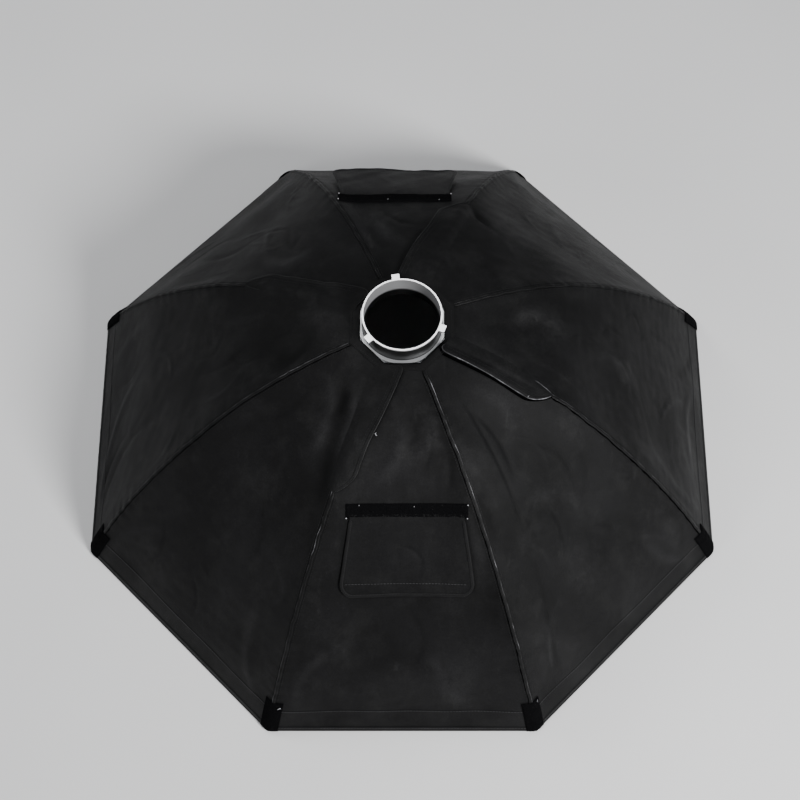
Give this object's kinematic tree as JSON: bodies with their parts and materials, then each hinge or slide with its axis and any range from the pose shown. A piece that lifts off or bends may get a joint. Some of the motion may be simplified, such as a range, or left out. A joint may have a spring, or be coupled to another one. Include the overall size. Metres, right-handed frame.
{
  "type": "studio softbox",
  "caption": "Octagonal studio softbox: sprung rods in a cast ring hold a black shell with a silver lining, a white front cloth, fabric flaps and a rotating bayonet collar for a flash head.",
  "frame": {"origin": "centre of the open rim's plane, on the surface that the softbox stands on face down", "axes": "+Z along the light's axis, towards the mount collar at the rear; X and Y through the middles of opposite panels"},
  "size_m": [0.8816, 0.8816, 0.375],
  "materials": {
    "shell_fabric": "coated matt-satin polyester weave",
    "flap_fabric": "coated polyester, bound edges",
    "silver_lining": "crinkled silver coating",
    "black_rubber": "matt",
    "black_webbing": "ribbed webbing",
    "spring_steel": "drawn, slightly blackened",
    "hook_and_loop": "fuzzy",
    "white_loop_band": "fuzzy",
    "white_diffuser": "plain weave",
    "black_mesh": "open net",
    "cast_aluminium": "matt, sand cast and coated",
    "collar_metal": "satin, machined edge",
    "screw_steel": "zinc plated"
  },
  "bodies": {
    "softbox": {"access_hook_strips": "hook_and_loop", "collar_lock_screw": "screw_steel", "collar_retaining_screws": "screw_steel", "diffuser_hook_bands": "hook_and_loop", "diffuser_loop_bands": "white_loop_band", "front_diffuser": "white_diffuser", "lining_panel_1": "silver_lining", "lining_panel_2": "silver_lining", "lining_panel_3": "silver_lining", "lining_panel_4": "silver_lining", "lining_panel_5": "silver_lining", "lining_panel_6": "silver_lining", "lining_panel_7": "silver_lining", "lining_panel_8": "silver_lining", "neck_hem": "black_webbing", "retaining_washers": "screw_steel", "rim_binding": "black_webbing", "rod_1": "spring_steel", "rod_2": "spring_steel", "rod_3": "spring_steel", "rod_4": "spring_steel", "rod_5": "spring_steel", "rod_6": "spring_steel", "rod_7": "spring_steel", "rod_8": "spring_steel", "rod_tip_caps": "black_rubber", "rod_tip_pockets": "black_webbing", "seam_tapes": "black_webbing", "shell_panel_1": "shell_fabric", "shell_panel_2": "shell_fabric", "shell_panel_3": "shell_fabric", "shell_panel_4": "shell_fabric", "shell_panel_5": "shell_fabric", "shell_panel_6": "shell_fabric", "shell_panel_7": "shell_fabric", "shell_panel_8": "shell_fabric", "speed_ring": "cast_aluminium", "vent_mesh_lower": "black_mesh", "vent_mesh_upper": "black_mesh", "vent_strip_lower": "hook_and_loop", "vent_strip_upper": "hook_and_loop"},
    "collar": {"mount_collar": "collar_metal"},
    "vent_flap_lower": {"vent_flap_lower": "flap_fabric"},
    "vent_flap_upper": {"vent_flap_upper": "flap_fabric"},
    "access_flap_2": {"access_flap_2": "flap_fabric"},
    "access_flap_4": {"access_flap_4": "flap_fabric"},
    "access_flap_6": {"access_flap_6": "flap_fabric"},
    "access_flap_8": {"access_flap_8": "flap_fabric"},
    "tip_tab_1": {"tip_tab_1": "hook_and_loop"},
    "tip_tab_2": {"tip_tab_2": "hook_and_loop"},
    "tip_tab_3": {"tip_tab_3": "hook_and_loop"},
    "tip_tab_4": {"tip_tab_4": "hook_and_loop"},
    "tip_tab_5": {"tip_tab_5": "hook_and_loop"},
    "tip_tab_6": {"tip_tab_6": "hook_and_loop"},
    "tip_tab_7": {"tip_tab_7": "hook_and_loop"},
    "tip_tab_8": {"tip_tab_8": "hook_and_loop"}
  },
  "joints": [
    {"name": "collar_spin", "type": "hinge", "parent": "softbox", "child": "collar", "pos_m": [0, 0, 0.345], "axis": [0, 0, 1], "continuous": true},
    {"name": "vent_flap_lower_lift", "type": "hinge", "parent": "softbox", "child": "vent_flap_lower", "pos_m": [0.006, -0.23821, 0.27463], "axis": [-1, 0, 0], "range_deg": [0, 140]},
    {"name": "vent_flap_upper_lift", "type": "hinge", "parent": "softbox", "child": "vent_flap_upper", "pos_m": [-0.01, 0.23821, 0.27463], "axis": [1, 0, 0], "range_deg": [0, 140]},
    {"name": "access_flap_2_peel", "type": "hinge", "parent": "softbox", "child": "access_flap_2", "pos_m": [0.05784, 0.13964, 0.33093], "axis": [0.3614, 0.8726, -0.3286], "range_deg": [0, 120]},
    {"name": "access_flap_4_peel", "type": "hinge", "parent": "softbox", "child": "access_flap_4", "pos_m": [-0.13685, 0.05669, 0.33196], "axis": [0.875, -0.3624, 0.3211], "range_deg": [0, 120]},
    {"name": "access_flap_6_peel", "type": "hinge", "parent": "softbox", "child": "access_flap_6", "pos_m": [-0.05707, -0.13778, 0.33162], "axis": [-0.3621, -0.8742, -0.3236], "range_deg": [0, 120]},
    {"name": "access_flap_8_peel", "type": "hinge", "parent": "softbox", "child": "access_flap_8", "pos_m": [0.12842, -0.05319, 0.33492], "axis": [-0.8818, 0.3653, 0.2982], "range_deg": [0, 120]},
    {"name": "tip_tab_1_peel", "type": "hinge", "parent": "softbox", "child": "tip_tab_1", "pos_m": [0.41659, 0.17256, 0.04925], "axis": [0.3827, -0.9239, 0], "range_deg": [0, 120]},
    {"name": "tip_tab_2_peel", "type": "hinge", "parent": "softbox", "child": "tip_tab_2", "pos_m": [0.17256, 0.41659, 0.04925], "axis": [0.9239, -0.3827, 0], "range_deg": [0, 120]},
    {"name": "tip_tab_3_peel", "type": "hinge", "parent": "softbox", "child": "tip_tab_3", "pos_m": [-0.17256, 0.41659, 0.04925], "axis": [0.9239, 0.3827, 0], "range_deg": [0, 120]},
    {"name": "tip_tab_4_peel", "type": "hinge", "parent": "softbox", "child": "tip_tab_4", "pos_m": [-0.41659, 0.17256, 0.04925], "axis": [0.3827, 0.9239, 0], "range_deg": [0, 120]},
    {"name": "tip_tab_5_peel", "type": "hinge", "parent": "softbox", "child": "tip_tab_5", "pos_m": [-0.41659, -0.17256, 0.04925], "axis": [-0.3827, 0.9239, 0], "range_deg": [0, 120]},
    {"name": "tip_tab_6_peel", "type": "hinge", "parent": "softbox", "child": "tip_tab_6", "pos_m": [-0.17256, -0.41659, 0.04925], "axis": [-0.9239, 0.3827, 0], "range_deg": [0, 120]},
    {"name": "tip_tab_7_peel", "type": "hinge", "parent": "softbox", "child": "tip_tab_7", "pos_m": [0.17256, -0.41659, 0.04925], "axis": [-0.9239, -0.3827, 0], "range_deg": [0, 120]},
    {"name": "tip_tab_8_peel", "type": "hinge", "parent": "softbox", "child": "tip_tab_8", "pos_m": [0.41659, -0.17256, 0.04925], "axis": [-0.3827, -0.9239, 0], "range_deg": [0, 120]}
  ]
}
